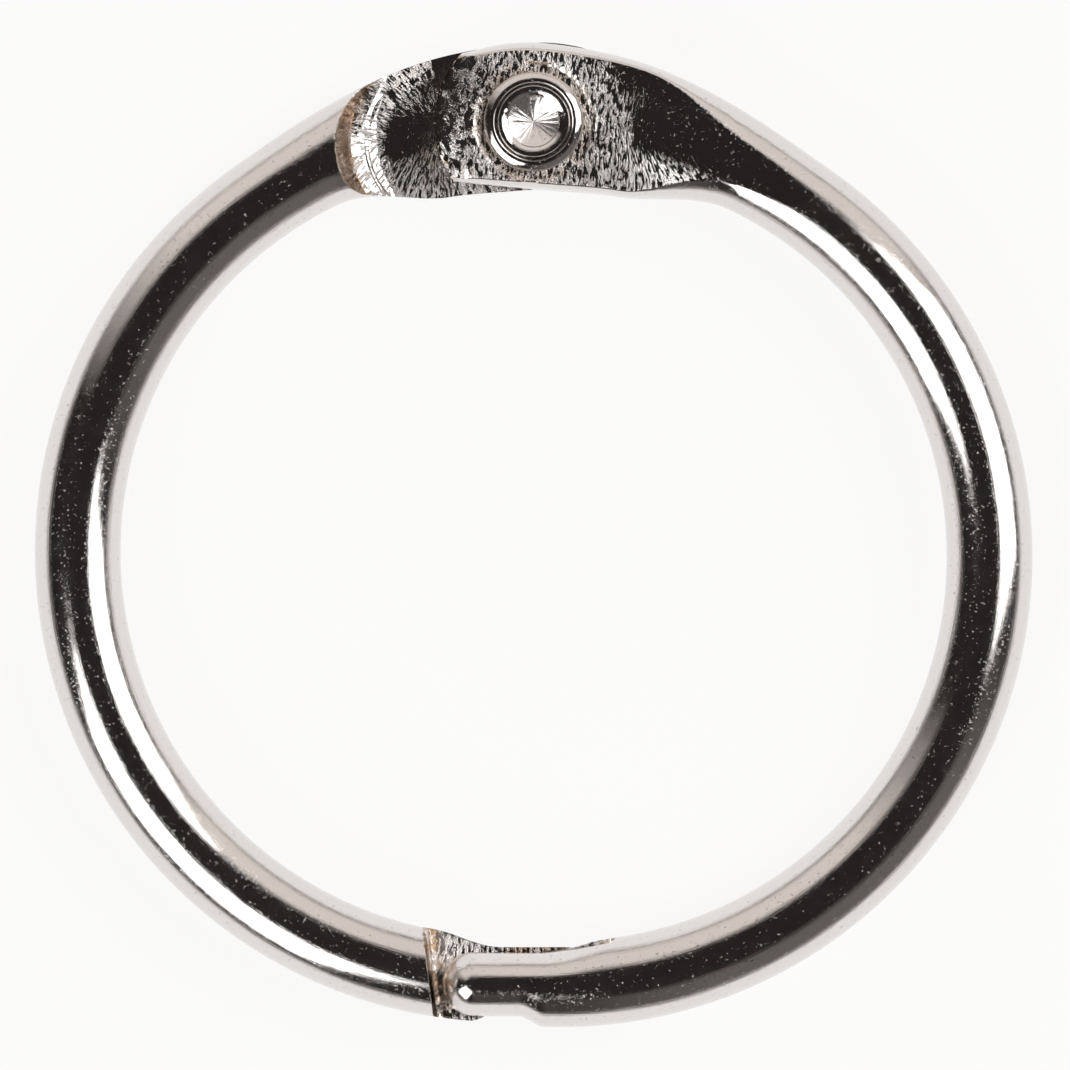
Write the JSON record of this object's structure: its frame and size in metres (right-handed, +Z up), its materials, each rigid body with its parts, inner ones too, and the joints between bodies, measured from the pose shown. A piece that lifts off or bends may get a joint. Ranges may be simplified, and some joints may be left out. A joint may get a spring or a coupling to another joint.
{
  "type": "binder ring",
  "caption": "Hinged loose-leaf binder ring of round plated wire: two stamped half rings joined by a rivet, lapping in a snap clasp opposite the hinge.",
  "frame": {"origin": "middle of the closed ring's eye, on the wire's centre plane", "axes": "the ring lies flat, +Z up along its own axis; +Y from the clasp to the hinge, +X towards the half that laps on top"},
  "size_m": [0.0302, 0.0298, 0.0031],
  "materials": {
    "nickel_plate": "bright nickel plate on drawn steel wire, with fine drawing lines, pits and thin brown tints at the stamped steps"
  },
  "bodies": {
    "left": {"left_half": "nickel_plate", "hinge_rivet": "nickel_plate"},
    "right": {"right_half": "nickel_plate"}
  },
  "joints": [
    {"name": "ring_hinge", "type": "hinge", "parent": "left", "child": "right", "pos_m": [0, 0.01305, 0], "axis": [0, 0, 1], "range_deg": [0, 135]}
  ]
}
